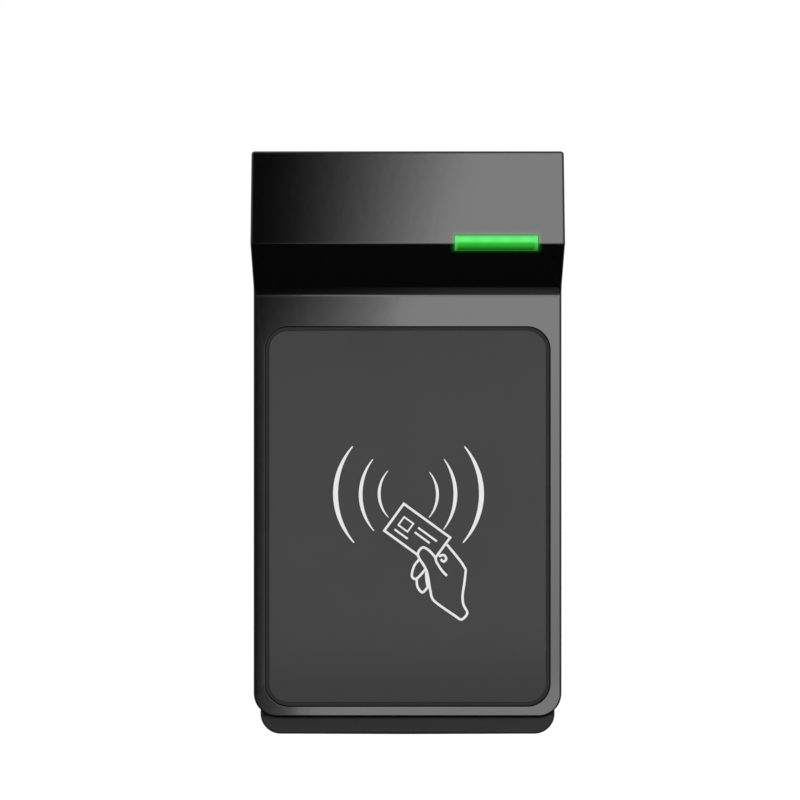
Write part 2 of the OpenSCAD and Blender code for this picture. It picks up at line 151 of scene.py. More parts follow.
class Finish(Bench):
    """A material: one Principled shader and what feeds it. Sizes are in mm."""

    def __init__(self, name, **constants):
        self.material = bpy.data.materials.new(name)
        self.material.use_nodes = True
        self.tree = self.material.node_tree
        self.shader = self.tree.nodes["Principled BSDF"]
        for key, value in constants.items():
            self.feed(key.replace("_", " "), value)

    def feed(self, socket, value):
        self.put(self.shader.inputs[socket], value)

    def noise(self, size, detail=3.0, roughness=0.5, stretch=None):
        """Cloudy variation from 0 to 1 whose lumps are about `size` across."""
        at = self.place()
        if stretch:
            at = self.node("ShaderNodeMapping", {}, {0: at, "Scale": stretch})
        return self.node("ShaderNodeTexNoise", {}, {
            "Vector": at, "Scale": 1 / (size * MM), "Detail": detail, "Roughness": roughness})

    def cells(self, size):
        """Distance from the middle of the nearest of many cells about `size` across."""
        return self.node("ShaderNodeTexVoronoi", {}, {"Vector": self.place(), "Scale": 1 / (size * MM)})

    def grade(self, value, low, high, to_low=0.0, to_high=1.0):
        """Eases from one level to another between two places."""
        return self.node("ShaderNodeMapRange", {"interpolation_type": "SMOOTHSTEP"}, {
            0: value, 1: low * MM, 2: high * MM, 3: to_low, 4: to_high})

    def mixed(self, mask, first, second):
        """A colour between two. The mix node's sockets 6 and 7 and its output 2 are the coloured ones."""
        pair = [c if isinstance(c, Value) else (*c, 1) for c in (first, second)]
        return self.node("ShaderNodeMix", {"data_type": "RGBA"}, {0: mask, 6: pair[0], 7: pair[1]}, out=2)

    def relief(self, height, depth):
        self.feed("Normal", self.node("ShaderNodeBump", {}, {"Distance": depth * MM, "Height": height}))

    def mottle(self, mask, first, second, rough=None, relief=None):
        """Lets a mask carry the colour from `first` to `second`, the roughness from `rough[0]` up by
        `rough[1]`, and the surface out by `relief`."""
        self.feed("Base Color", self.mixed(mask, first, second))
        if rough:
            self.feed("Roughness", rough[0] + rough[1] * mask)
        if relief:
            self.relief(mask, relief)


class Box:
    """Where a node lies at rest in mm: across, in depth from the wall outwards, and in height."""

    def __init__(self, node):
        low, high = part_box(node)
        self.left, self.rear, self.bottom = low.x / MM, -high.y / MM, low.z / MM
        self.right, self.front, self.top = high.x / MM, -low.y / MM, high.z / MM
        self.x = (self.left + self.right) / 2
        self.z = (self.bottom + self.top) / 2
        self.half_wide = (self.right - self.left) / 2
        self.half_tall = (self.top - self.bottom) / 2


def smooth_shaded(mesh, angle=40):
    mesh.shade_smooth()
    mesh.set_sharp_from_angle(angle=math.radians(angle))


def settled(obj):
    """Applies the piece's modifiers and leaves a plain mesh."""
    result = bpy.data.meshes.new_from_object(obj.evaluated_get(bpy.context.evaluated_depsgraph_get()))
    obj.modifiers.clear()
    old, obj.data = obj.data, result
    bpy.data.meshes.remove(old)
    result.name = obj.name
    return obj


def piece(name, mesh, finish, stands_for=(), body="reader"):
    """Puts a finished mesh on its body, or on none if it is to stretch between two."""
    obj = bpy.data.objects.new(name, mesh)
    bpy.context.scene.collection.objects.link(obj)
    mesh.name = name
    mesh.materials.clear()
    mesh.materials.append(finish.material)
    if body:
        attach(obj, body)
    if stands_for:
        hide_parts(*stands_for)
    return obj


softest_edge = math.radians(25)


def everywhere(x, depth, height):
    return True


def rounded_copy(node, name, finish, roundings, segments=2):
    """A CAD node with its edges rounded as the real moulding's are.

    `roundings` is a radius in mm for every edge, or a list of (radius, test). An edge takes the
    first radius whose test holds for both of its ends, given in mm as (x, depth, height). A
    radius may itself be a function of where the edge is.
    """
    source = frame["nodes"][node]
    rules = roundings if isinstance(roundings, list) else [(roundings, everywhere)]
    bm = bmesh.new()
    bm.from_mesh(source.data)
    bmesh.ops.remove_doubles(bm, verts=bm.verts, dist=2e-6)
    bmesh.ops.dissolve_limit(bm, angle_limit=math.radians(0.6), verts=bm.verts, edges=bm.edges)
    weight = bm.edges.layers.float.new("bevel_weight_edge")
    for edge in bm.edges:
        if not edge.is_manifold or edge.calc_face_angle(0) < softest_edge:
            continue
        ends = [(v.co.x / MM, -v.co.y / MM, v.co.z / MM) for v in edge.verts]
        for radius, test in rules:
            if all(test(*end) for end in ends):
                middle = [(a + b) / 2 for a, b in zip(*ends)]
                edge[weight] = radius(*middle) if callable(radius) else radius
                break
    mesh = bpy.data.meshes.new(name)
    bm.to_mesh(mesh)
    bm.free()
    obj = piece(name, mesh, finish, [node], source["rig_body"])
    if rules:
        bevel = obj.modifiers.new("rounding", "BEVEL")
        bevel.width = MM
        bevel.segments = segments
        bevel.limit_method = "WEIGHT"
        bevel.use_clamp_overlap = False
        bevel.miter_outer = "MITER_SHARP"
        settled(obj)
    smooth_shaded(obj.data)
    even = obj.modifiers.new("even", "WEIGHTED_NORMAL")
    even.keep_sharp = True
    even.weight = 100
    return settled(obj)


base = Box("wall_base")


def lip_edge(x, depth, height):
    return depth > base.front - 0.05 or height < base.bottom + 0.02 and depth > 0.5


def tray_edge(x, depth, height):
    return abs(x) > base.right - 0.25 or height > base.top - 0.1


base_grain = Finish("base_moulding", Specular_IOR_Level=0.3)
grain = base_grain.noise(0.16, detail=2)
rubbed = base_grain.noise(9, detail=5, roughness=0.6)
base_grain.mottle(rubbed, (0.0055, 0.0055, 0.006), (0.0095, 0.0095, 0.01))
base_grain.feed("Roughness", 0.44 + 0.16 * grain + 0.1 * rubbed)
base_grain.relief(grain, 0.012)
rounded_copy("wall_base", "wall_base_moulding", base_grain, [
    (0.55, lip_edge),
    (0.3, tray_edge),
    (0.12, everywhere),
], segments=3)

# ---- Wall seal ----
# A closed-cell foam ring pressed into the groove on the base's back, flush with the wall.

foam = Finish("seal_foam", Roughness=0.95)
foam.mottle(foam.cells(0.32), (0.04, 0.04, 0.042), (0.012, 0.012, 0.013), relief=0.05)
rounded_copy("wall_seal", "wall_seal_ring", foam, 0.12)

# ---- Hinge bar ----
# Ground steel rod pressed through the three lugs. The reader's two hooks hang on it.

ground_steel = Finish("ground_steel", Metallic=1.0)
grind_marks = ground_steel.noise(0.4, detail=4, stretch=(14, 1, 1))
ground_steel.mottle(grind_marks, (0.36, 0.365, 0.38), (0.48, 0.485, 0.5), rough=(0.2, 0.22))
rounded_copy("hinge_bar", "hinge_bar_rod", ground_steel, 0.2, segments=3)

# ---- Insert and lock screw ----
# A knurled brass insert moulded into the lip, and the headless hex-socket screw in it that
# rises into the reader's lower edge. Both are turned, so both come off the lathe below.


def metres(x, depth, height):
    """A place in mm, its depth counted from the wall, as a point of the frame."""
    return (x * MM, -depth * MM, height * MM)


def meshed(lay, *given):
    """A mesh from a function that lays shapes into it."""
    bm = bmesh.new()
    lay(bm, *given)
    bmesh.ops.recalc_face_normals(bm, faces=bm.faces)
    mesh = bpy.data.meshes.new("blank")
    bm.to_mesh(mesh)
    bm.free()
    return mesh


def thread(pitch, bite):
    """The cut of a screw thread, for a place along the axis in mm and a turn from 0 to 1."""
    return lambda along, turn: bite * abs((along / pitch - turn) % 1 - 0.5) * 2


def knurl(count, bite):
    return lambda along, turn: bite * (0.5 - 0.5 * math.cos(2 * math.pi * count * turn))


def run(radius, start, stop, cut, step):
    """Rings close enough together to carry a cut between two places along the axis."""
    count = math.ceil(abs(stop - start) / step)
    return [(radius, start + (stop - start) * i / count, cut) for i in range(count + 1)]


def lathe(profile, centre=(0, 0, 0), upright=False, sides=32, loop=False):
    """Turns a profile of (radius, place along the axis[, cut]) in mm round an axis through `centre`.

    The axis runs along the depth, or along the height where `upright`. A ring of no radius is
    a closed end, and a `loop` has a bore.
    """

    def lay(bm):
        rings = []
        for radius, along, *cut in profile:
            ring = []
            for k in range(1 if radius == 0 else sides):
                turn = k / sides
                r = radius - (cut[0](along, turn) if cut else 0)
                a, b = r * math.cos(2 * math.pi * turn), r * math.sin(2 * math.pi * turn)
                place = (a, b, along) if upright else (a, along, b)
                ring.append(bm.verts.new(metres(*(c + p for c, p in zip(centre, place)))))
            rings.append(ring)
        for near, far in zip(rings, rings[1:] + rings[:1] if loop else rings[1:]):
            for k in range(sides):
                following = k + 1
                corners = [near[k % len(near)], near[following % len(near)],
                           far[following % len(far)], far[k % len(far)]]
                bm.faces.new(list(dict.fromkeys(corners)))

    mesh = meshed(lay)
    smooth_shaded(mesh)
    return mesh


class Layout(Bench):
    """A Geometry Nodes tree whose sizes are named inputs."""

    def __init__(self, name, inputs):
        self.tree = bpy.data.node_groups.new(name, "GeometryNodeTree")
        sockets = {"Blank": "Geometry", **inputs, "Finish": "Material"}
        for label, kind in sockets.items():
            self.tree.interface.new_socket(label, in_out="INPUT", socket_type="NodeSocket" + kind)
        self.tree.interface.new_socket("Pieces", in_out="OUTPUT", socket_type="NodeSocketGeometry")
        self.entry = self.tree.nodes.new("NodeGroupInput")

    def given(self, label):
        return Value(self, self.entry.outputs[label])

    def vector(self, x=0.0, y=0.0, z=0.0):
        return self.node("ShaderNodeCombineXYZ", {}, {0: x, 1: y, 2: z})

    def row(self, blank, count, start=(0, 0, 0), step=(0, 0, 0), turn=(0, 0, 0)):
        """Copies of a blank from `start` on by even steps, each turned by `turn`."""
        points = self.node("GeometryNodeMeshLine", {"mode": "OFFSET"}, {
            "Count": count, "Start Location": start, "Offset": step})
        return self.node("GeometryNodeInstanceOnPoints", {}, {
            "Points": points, "Instance": blank, "Rotation": turn})

    def close(self, geometry):
        whole = self.node("GeometryNodeRealizeInstances", {}, {0: geometry})
        coated = self.node("GeometryNodeSetMaterial", {}, {
            "Geometry": whole, "Material": self.given("Finish")})
        self.node("NodeGroupOutput", {}, {0: coated}, out=None)

    def shaped(self, blank, finish, sizes):
        """Runs the tree on a blank and gives a plain mesh."""
        holder = bpy.data.objects.new(blank.name, blank)
        bpy.context.scene.collection.objects.link(holder)
        step = holder.modifiers.new("layout", "NODES")
        step.node_group = self.tree
        values = {**sizes, "Finish": finish.material}
        for item in self.tree.interface.items_tree:
            if item.in_out == "INPUT" and item.name in values:
                step[item.identifier] = values[item.name]
        mesh = settled(holder).data
        bpy.data.objects.remove(holder)
        return mesh


# Cuts a driver's recess into the end of a blank: bars of one length, turned about the axis.
recess = Layout("driver_recess", {
    "Bars": "Int", "Span": "Float", "Width": "Float", "Deep": "Float", "End": "Vector", "Axis": "Vector"})
bar = recess.node("GeometryNodeMeshCube", {}, {
    "Size": recess.vector(recess.given("Span"), recess.given("Width"), 2 * recess.given("Deep"))})
turn_each = recess.node("GeometryNodeInputIndex") * math.pi / recess.given("Bars")
bars = recess.row(bar, recess.given("Bars"), turn=recess.vector(z=turn_each))
cutter = recess.node("GeometryNodeTransform", {}, {
    0: recess.node("GeometryNodeRealizeInstances", {}, {0: bars}),
    "Translation": recess.given("End"), "Rotation": recess.given("Axis")})
recess.close(recess.node("GeometryNodeMeshBoolean", {"operation": "DIFFERENCE", "solver": "EXACT"}, {
    "Mesh 1": recess.given("Blank"), "Mesh 2": cutter, "Self Intersection": True}))


def recessed(blank, finish, bars, span, width, deep, end, upright=False):
    """A turned blank with a recess, in mm, in the end that is at (x, depth, height) `end`."""
    return recess.shaped(blank, finish, {
        "Bars": bars, "Span": span * MM, "Width": width * MM, "Deep": deep * MM,
        "End": metres(*end), "Axis": (0 if upright else math.pi / 2, 0, 0)})


turned_brass = Finish("turned_brass", Metallic=1.0)
turned_brass.mottle(turned_brass.noise(0.25), (0.45, 0.3, 0.1), (0.6, 0.43, 0.17), rough=(0.22, 0.2))
insert = Box("screw_insert")
insert_r = insert.half_wide
insert_h = insert.top - insert.bottom
lip_hole = (0, (insert.rear + insert.front) / 2, insert.bottom)
bore_r = insert_r - 0.45
chamfer = 0.15
band_gap = 0.12
band_h = (insert_h - 0.5) / 2
insert_profile = [(bore_r + chamfer, 0), (insert_r - chamfer, 0)]
for low in (band_gap, insert_h - band_gap - band_h):
    insert_profile += [
        (insert_r - chamfer, low),
        *run(insert_r, low + 0.05, low + band_h - 0.05, knurl(20, 0.12), 0.5),
        (insert_r - chamfer, low + band_h)]
insert_profile += [(insert_r - chamfer, insert_h), (bore_r + chamfer, insert_h),
                   (bore_r, insert_h - chamfer), (bore_r, chamfer)]
insert_mesh = lathe(insert_profile, lip_hole, upright=True, sides=80, loop=True)
piece("lock_insert", insert_mesh, turned_brass, ["screw_insert"], "base")

lock_steel = Finish("lock_screw_steel", Metallic=1.0)
lock_steel.mottle(lock_steel.noise(0.3), (0.24, 0.245, 0.25), (0.34, 0.345, 0.35), rough=(0.24, 0.2))
lock = Box("lock_screw")
lock_r = lock.half_wide
lock_len = lock.top - lock.bottom
lock_foot = (0, lip_hole[1], lock.bottom)
lock_profile = [(0, 0), (lock_r - 0.2, 0), *run(lock_r, 0.2, lock_len - 0.5, thread(0.45, 0.2), 0.075),
                (lock_r - 0.2, lock_len - 0.45), (lock_r - 0.2, lock_len - 0.2), (lock_r - 0.45, lock_len),
                (0, lock_len)]
lock_blank = lathe(lock_profile, lock_foot, upright=True, sides=36)
hex_flats = 1.26
hex_side = hex_flats * math.tan(math.radians(30))
lock_mesh = recessed(lock_blank, lock_steel, 3, hex_flats, hex_side, 1.6, lock_foot, upright=True)
piece("lock_screw_grub", lock_mesh, lock_steel, ["lock_screw"], "lock_screw")

# ---- Reader housing ----
# One high-gloss black moulding: the frame round the panel, the side walls and the hood. The
# front edges are rounded by about half a millimetre, as a polished tool leaves them.

piano_black = Finish("piano_black", Base_Color=(0.0012, 0.0012, 0.0013, 1), IOR=1.5, Emission_Strength=1.0)
haze = piano_black.noise(14, detail=6, roughness=0.65)
hairlines = piano_black.noise(0.5, detail=2, stretch=(0.06, 1, 1))
piano_black.feed("Roughness", 0.05 + 0.035 * haze + 0.01 * hairlines)
piano_black.relief(piano_black.noise(2.2, detail=1), 0.003)
housing = Box("front_housing")
gasket = Box("panel_gasket")
face_depth = 16.0
back_depth = housing.rear
corner_r = 4.85

# A faint green glow is painted into the housing's plastic beside the light bar, as if the bar's light spilled
# into it.
light = Box("light_pipe")
spread = 1.3
beside_bar = abs(piano_black.along("X") - light.x * MM)
over_bar = abs(piano_black.along("Z") - light.z * MM)
painted_spill_glow = (piano_black.grade(beside_bar, light.half_wide, light.half_wide + spread, 1, 0)
        * piano_black.grade(over_bar, light.half_tall, light.half_tall + spread, 1, 0)) ** 2
# Painted glow: green emission in the black housing, strongest next to the light bar.
piano_black.feed("Emission Color", piano_black.mixed(painted_spill_glow, (0, 0, 0), (0.002, 0.11, 0.004)))


def beside_light(x, depth, height):
    return (light.left - 0.2 < x < light.right + 0.2 and light.bottom - 1 < height < light.top + 1
            and depth > 20)


def round_panel(x, depth, height):
    return (abs(x) < gasket.right + 0.3 and gasket.bottom - 0.3 < height < gasket.top + 0.3
            and depth > face_depth - 1.1)


def outer_front(x, depth, height):
    rim = (abs(x) > housing.right - corner_r or height < housing.bottom + corner_r
           or height > housing.top - 0.75)
    return depth > face_depth - 0.01 and (rim or depth > housing.front - 0.05)


def outer_rear(x, depth, height):
    rim = abs(x) > housing.right - corner_r or abs(height) > housing.top - corner_r
    return depth < back_depth + 0.01 and rim


def front_radius(x, depth, height):
    """Tighter along the two lower edges than up the sides."""
    if depth > housing.front - 0.05:
        return 0.3
    return 0.3 + 0.25 * min(1, max(0, height - housing.bottom) / corner_r)


rounded_copy("front_housing", "reader_housing", piano_black, [
    (0.1, beside_light),
    (0.1, round_panel),
    (front_radius, outer_front),
    (0.2, outer_rear),
], segments=3)

# ---- Reading panel ----
# A matt dark grey polycarbonate sheet glued into the frame's recess, where the card is held.
# It has a fine even texture, and a soft black gasket lies in the groove round it. Its colour is
# darkened towards its lower end as painted shade.

panel = Box("reading_panel")
panel_sheet = Finish("panel_sheet", Specular_IOR_Level=0.2)
velvet = panel_sheet.noise(0.11, detail=3, roughness=0.6)
shade = 0.35 * velvet + 0.65 * panel_sheet.noise(22, detail=2)
# Painted shade: the sheet's colour darkens over its lowest 16 mm.
painted_low_shade = panel_sheet.grade(panel_sheet.along("Z"), panel.bottom, panel.bottom + 16)
panel_tone = panel_sheet.mixed(shade, (0.0245, 0.0245, 0.025), (0.0305, 0.0305, 0.031))
panel_sheet.mottle(painted_low_shade, (0.0205, 0.0205, 0.021), panel_tone)
panel_sheet.feed("Roughness", 0.62 + 0.2 * velvet)
panel_sheet.relief(velvet, 0.02)
rounded_copy("reading_panel", "reading_panel_sheet", panel_sheet, [
    (0.12, lambda x, depth, height: depth > panel.front - 0.05)], segments=3)

gasket_rubber = Finish("gasket_rubber", Roughness=0.7, Specular_IOR_Level=0.3)
gasket_rubber.mottle(gasket_rubber.noise(0.4, detail=4), (0.012,) * 3, (0.018,) * 3, relief=0.02)
rounded_copy("panel_gasket", "panel_gasket_ring", gasket_rubber, 0.08)

# ---- Printed pictogram ----
# White screen-print ink on the panel: three waves a side, a tilted card and the hand that
# holds it. The card bears a chip and stripes in place of lettering.

ink = Finish("printed_ink", Roughness=0.6, Specular_IOR_Level=0.3)
ink.mottle(ink.noise(0.14, detail=2), (0.37,) * 3, (0.5,) * 3, relief=0.01)


def strip(bm, path, widths, low, high, place, closed=False):
    """Lays a flat strip along `path`, as wide at each point as `widths` says, from `low` to `high`
    across it. `place` turns (along path, along path, across) into (x, depth, height), all in mm."""
    count = len(path)
    rows = []
    for i, here in enumerate(path):
        before = path[(i - 1) % count] if closed or i else here
        after = path[(i + 1) % count] if closed or i < count - 1 else here
        into = (here - before).normalized() if here != before else (after - here).normalized()
        away = (after - here).normalized() if after != here else into
        side = Vector((-(into + away).y, (into + away).x)).normalized()
        stretch = 1 / max(0.5, side.dot(Vector((-into.y, into.x))))
        reach = side * widths[i] / 2 * stretch
        corners = [(here + reach, low), (here + reach, high), (here - reach, high), (here - reach, low)]
        rows.append([bm.verts.new(metres(*place(p.x, p.y, q))) for p, q in corners])
    last = count if closed else count - 1
    for i in range(last):
        a, b = rows[i], rows[(i + 1) % count]
        for k in range(4):
            bm.faces.new((a[k], a[(k + 1) % 4], b[(k + 1) % 4], b[k]))
    if not closed:
        bm.faces.new(rows[0][::-1])
        bm.faces.new(rows[-1])


def ink_band(bm, path, widths, closed=False, coat=0.035):
    strip(bm, path, widths, panel.front - 0.01, panel.front + coat, lambda x, z, depth: (x, depth, z), closed)


def printed(name, lay):
    """A piece of ink whose bands `lay` puts down."""
    piece(name, meshed(lay), ink)


def arc_through(first, middle, last, steps=28):
    """Points on the circle through three points."""
    b = Vector(middle) - Vector(first)
    c = Vector(last) - Vector(first)
    bb, cc = b.dot(b), c.dot(c)
    reach = Vector((c.y * bb - b.y * cc, b.x * cc - c.x * bb)) / (2 * b.cross(c))
    centre = Vector(first) + reach
    end = Vector(last) - centre
    start = math.atan2(-reach.y, -reach.x)
    sweep = (math.atan2(end.y, end.x) - start + math.pi) % (2 * math.pi) - math.pi
    angles = [start + sweep * i / steps for i in range(steps + 1)]
    return [centre + reach.length * Vector((math.cos(angle), math.sin(angle))) for angle in angles]


# Each wave's upper end, middle and lower end, and its width in the middle.
waves = [
    ((-11.6, -2.3), (-15.2, -12.0), (-11.3, -22.6), 1.14),
    ((-7.3, -5.0), (-9.9, -12.0), (-7.1, -20.1), 0.86),
    ((-4.1, -7.4), (-6.0, -12.3), (-4.0, -17.3), 0.66),
    ((4.6, -7.7), (6.3, -12.5), (4.5, -17.3), 0.66),
    ((7.7, -5.0), (10.1, -12.3), (7.6, -19.8), 0.86),
    ((12.0, -2.3), (15.6, -12.1), (11.7, -22.6), 1.14),
]


def lay_waves(bm):
    for first, middle, last, width in waves:
        path = arc_through(first, middle, last)
        swell = [math.sin(math.pi * i / (len(path) - 1)) for i in range(len(path))]
        ink_band(bm, path, [width * (0.22 + 0.7 * s) for s in swell])


printed("printed_waves", lay_waves)

line_width = 0.5
card_tilt = math.radians(-36)
card_corner = Vector((-0.8, -14.4))
card_long = Vector((math.cos(card_tilt), math.sin(card_tilt)))
card_short = Vector((card_long.y, -card_long.x))


def lay_card(bm):
    def stroke(width, *corners, closed=False):
        path = [card_corner + card_long * u + card_short * v for u, v in corners]
        ink_band(bm, path, [width] * len(path), closed)

    stroke(line_width, (8.9, 7), (0, 7), (0, 0), (12.1, 0), (12.1, 5.2))
    stroke(0.34, (1.7, 2.2), (4.1, 2.2), (4.1, 4.3), (1.7, 4.3), closed=True)
    for v, u0, u1 in ((2.3, 5.4, 10.3), (3.5, 5.4, 9.3), (5.5, 1.6, 5.0)):
        stroke(0.42, (u0, v), (u1, v))


printed("printed_card", lay_card)

# The back of the hand and wrist, the far edge of the palm, the thumb's crease, its nail, and
# the folded fingers.
hand_lines = [
    [(6.0, -26.5), (5.8, -25.7), (4.8, -24.5), (3.7, -23.7), (3.0, -23.7), (2.3, -24.5), (2.3, -25.6),
     (3.6, -27.7), (4.2, -29.2), (4.8, -32.7), (5.3, -34.5), (6.9, -35.9), (10.1, -38.1), (11.2, -38.8),
     (12.0, -38.4), (12.6, -37.3), (11.8, -35.7), (11.6, -33.8), (12.0, -31.0), (12.3, -28.3)],
    [(12.3, -28.3), (11.3, -26.7), (9.8, -24.8), (8.3, -23.0)],
    [(6.0, -26.5), (7.1, -28.3), (8.3, -29.6)],
    [(6.6, -25.5), (7.6, -25.2), (8.15, -25.95), (7.65, -26.6), (7.0, -26.1)],
    [(2.4, -26.2), (1.4, -27.5), (0.9, -29.6), (1.9, -30.2), (3.7, -28.3)],
    [(1.9, -30.2), (2.1, -31.9), (3.1, -33.1), (4.1, -32.2), (4.5, -32.0)],
    [(3.9, -28.9), (4.0, -30.6), (4.3, -32.2)],
]


def drawn(points, steps=5):
    """A smooth hand-drawn line through `points`."""
    points = [Vector(p) for p in points]
    line = []
    for i in range(len(points) - 1):
        a, b, c, d = points[max(i - 1, 0)], points[i], points[i + 1], points[min(i + 2, len(points) - 1)]
        for step in range(steps):
            t = step / steps
            line.append(0.5 * ((2 * b) + (c - a) * t + (2 * a - 5 * b + 4 * c - d) * t * t
                               + (3 * b - 3 * c + d - a) * t * t * t))
    return line + [points[-1]]


def lay_hand(bm):
    """Each stroke lies a little higher than the one before, so that no two share a face."""
    for i, points in enumerate(hand_lines):
        line = drawn(points)
        ink_band(bm, line, [line_width] * len(line), coat=0.038 + 0.003 * i)


printed("printed_hand", lay_hand)

# ---- Light bar ----
# Translucent green acrylic that wraps the hood's lower edge. Four diodes shine up its stem,
# so its front glows, its middle is deeper and its lower rim catches a little light.

led_pitch = 4.1
green_glow = Finish("green_light", Base_Color=(0.008, 0.05, 0.01, 1), Roughness=0.4, Specular_IOR_Level=0.15,
                    Emission_Strength=1.0)
rise = green_glow.along("Z")
upper = green_glow.grade(rise, light.top - 1.75, light.top - 1.15)
lower_rim = green_glow.grade(rise, light.bottom + 0.7, light.bottom)
upper_rim = green_glow.grade(rise, light.top - 0.6, light.top)
out = abs(green_glow.along("X") - light.x * MM)
ends = green_glow.grade(out, light.half_wide - 0.9, light.half_wide - 0.2)
spots = 0.5 - 0.5 * green_glow.sum("COSINE", out * (2 * math.pi / (led_pitch * MM)))
deep = green_glow.mixed(lower_rim, (0.003, 0.38, 0.004), (0.006, 0.12, 0.006))
bright = green_glow.mixed(spots, (0.09, 0.76, 0.145), (0.105, 0.83, 0.165))
top_lit = green_glow.mixed(upper_rim, bright, (0.08, 0.42, 0.11))
glow = green_glow.mixed(upper, deep, top_lit)
green_glow.feed("Emission Color", green_glow.mixed(0.25 * ends, glow, (0.2, 0.7, 0.25)))
rounded_copy("light_pipe", "status_light_bar", green_glow, [
    (0.14, lambda x, depth, height: depth > 22)], segments=3)

# ---- Back cover ----
# Matt black moulding that closes the reader, with the two hooks, the plunger's guide and a
# window for the terminals. A silicone ring is squeezed between it and the housing's ledge.

cover_grain = Finish("cover_moulding", Specular_IOR_Level=0.35)
pebble = cover_grain.noise(0.2, detail=2)
cover_grain.mottle(cover_grain.noise(12, detail=4), (0.008, 0.008, 0.0085), (0.0145, 0.0145, 0.015))
cover_grain.feed("Roughness", 0.46 + 0.18 * pebble)
cover_grain.relief(pebble, 0.015)
rounded_copy("back_cover", "reader_back_cover", cover_grain, 0.15, segments=3)

silicone = Finish("cover_silicone")
silicone.mottle(silicone.noise(0.5), (0.022, 0.022, 0.023), (0.036, 0.036, 0.037), rough=(0.5, 0.25))
rounded_copy("cover_seal", "cover_seal_ring", silicone, 0.1)

# ---- Cover and board screws ----
# Zinc-plated pan heads with a cross recess and a coarse thread for plastic: four hold the back
# cover and four hold the main board. Each set is one turned screw, set out at even steps.

# Sets a blank out in a row of even steps, and the row in rows.
even_steps = Layout("even_steps", {
    "First": "Vector", "Count": "Int", "Step": "Vector", "Rows": "Int", "Row step": "Vector"})
even_row = even_steps.row(even_steps.given("Blank"), even_steps.given("Count"), even_steps.given("First"),
                          even_steps.given("Step"))
even_steps.close(even_steps.row(even_row, even_steps.given("Rows"), step=even_steps.given("Row step")))


def set_out(name, blank, finish, first, count, step, rows=1, row_step=0, stands_for=()):
    """A piece of the reader made of `count` copies of a blank in each of `rows` rows, in mm."""
    x, height = first
    mesh = even_steps.shaped(blank, finish, {
        "First": metres(x, 0, height), "Count": count, "Step": (step * MM, 0, 0),
        "Rows": rows, "Row step": (0, 0, row_step * MM)})
    piece(name, mesh, finish, stands_for)


zinc = Finish("zinc_plate", Metallic=1.0)
zinc.mottle(zinc.noise(0.6, detail=4), (0.27, 0.275, 0.29), (0.42, 0.425, 0.43), rough=(0.26, 0.2))


def pan_screw(head_r, head_h, shank_r, pitch, top, tip):
    """A screw along the depth at x = 0, height = 0, from the head's `top` to the `tip`."""
    seat = top + head_h
    root_r = shank_r * 0.85
    return lathe([
        (0, top), (head_r * 0.5, top + 0.02), (head_r * 0.8, top + head_h * 0.14),
        (head_r * 0.95, top + head_h * 0.36), (head_r, top + head_h * 0.62), (head_r, seat),
        (root_r, seat), (root_r, seat + 0.3),
        *run(shank_r, seat + 0.35, tip - 0.7, thread(pitch, shank_r * 0.22), pitch / 5),
        (shank_r * 0.62, tip - 0.55), (shank_r * 0.3, tip), (0, tip)], sides=28)


# Node, head radius and height, shank radius, pitch, and the cross recess's span, width and depth.
screw_sets = (
    ("cover_screws", 2.4, 1.2, 1.2, 0.9, 2.8, 0.6, 0.7),
    ("board_screws", 1.9, 1.0, 0.95, 0.75, 2.2, 0.44, 0.5),
)
for node, head_r, head_h, shank_r, pitch, span, width, deep in screw_sets:
    at = Box(node)
    blank = pan_screw(head_r, head_h, shank_r, pitch, at.rear, at.front)
    screw = recessed(blank, zinc, 2, span, width, deep, (0, at.rear, 0))
    set_out(node + "_zinc", screw, zinc, (at.left + head_r, at.bottom + head_r), 2,
            2 * (at.half_wide - head_r), 2, 2 * (at.half_tall - head_r), [node])

# ---- Circuit boards ----
# Glass-epoxy boards in green solder mask, with the tracks showing through it as a lighter
# green. The main board is screwed to the housing; the antenna board is stuck behind the panel.

solder_mask = Finish("green_solder_mask", Coat_Weight=0.3)
board_plane = solder_mask.node("ShaderNodeMapping", {}, {
    0: solder_mask.place(), "Rotation": (math.pi / 2, 0, 0), "Scale": (1 / (2.4 * MM),) * 3})
track_ways = solder_mask.node("ShaderNodeTexBrick", {"offset": 0.37, "squash": 1.0}, {
    "Vector": board_plane, "Scale": 1.0, "Mortar Size": 0.05, "Mortar Smooth": 0.05}, out="Fac")
tracks = track_ways * (solder_mask.noise(5, detail=1) > 0.48)
glass_weave = solder_mask.noise(0.5, detail=1, stretch=(1, 1, 0.2))
bare_mask = solder_mask.mixed(glass_weave, (0.006, 0.055, 0.02), (0.009, 0.072, 0.027))
solder_mask.mottle(tracks, bare_mask, (0.02, 0.16, 0.06), relief=0.03)
solder_mask.feed("Roughness", 0.3 + 0.12 * glass_weave)
rounded_copy("main_board", "main_circuit_board", solder_mask, 0.08)
rounded_copy("antenna_board", "antenna_circuit_board", solder_mask, 0.08)
board_face = Box("main_board").front

# ---- Chips ----
# Black epoxy packages with drafted sides, and tin-plated legs formed as gull wings. One leg is
# bent from strip and set out along each side, and the row is turned round the case.


def block(bm, centre, half_x, half_z, levels, corner=0.1, steps=3):
    """A solid of level outlines, from (depth, inset) pairs, with rounded corners, in mm."""
    rings = []
    for depth, inset in levels:
        ring = []
        radius = max(corner - inset, 0.02)
        for quarter, (sx, sz) in enumerate(((1, 1), (-1, 1), (-1, -1), (1, -1))):
            for k in range(steps + 1):
                a = (quarter + k / steps) * math.pi / 2
                x = sx * (half_x - inset - radius) + radius * math.cos(a)
                z = sz * (half_z - inset - radius) + radius * math.sin(a)
                ring.append(bm.verts.new(metres(centre[0] + x, depth, centre[1] + z)))
        rings.append(ring)
    for a, b in zip(rings, rings[1:]):
        for k in range(len(a)):
            bm.faces.new((a[k], a[(k + 1) % len(a)], b[(k + 1) % len(a)], b[k]))
    bm.faces.new(rings[0])
    bm.faces.new(rings[-1][::-1])


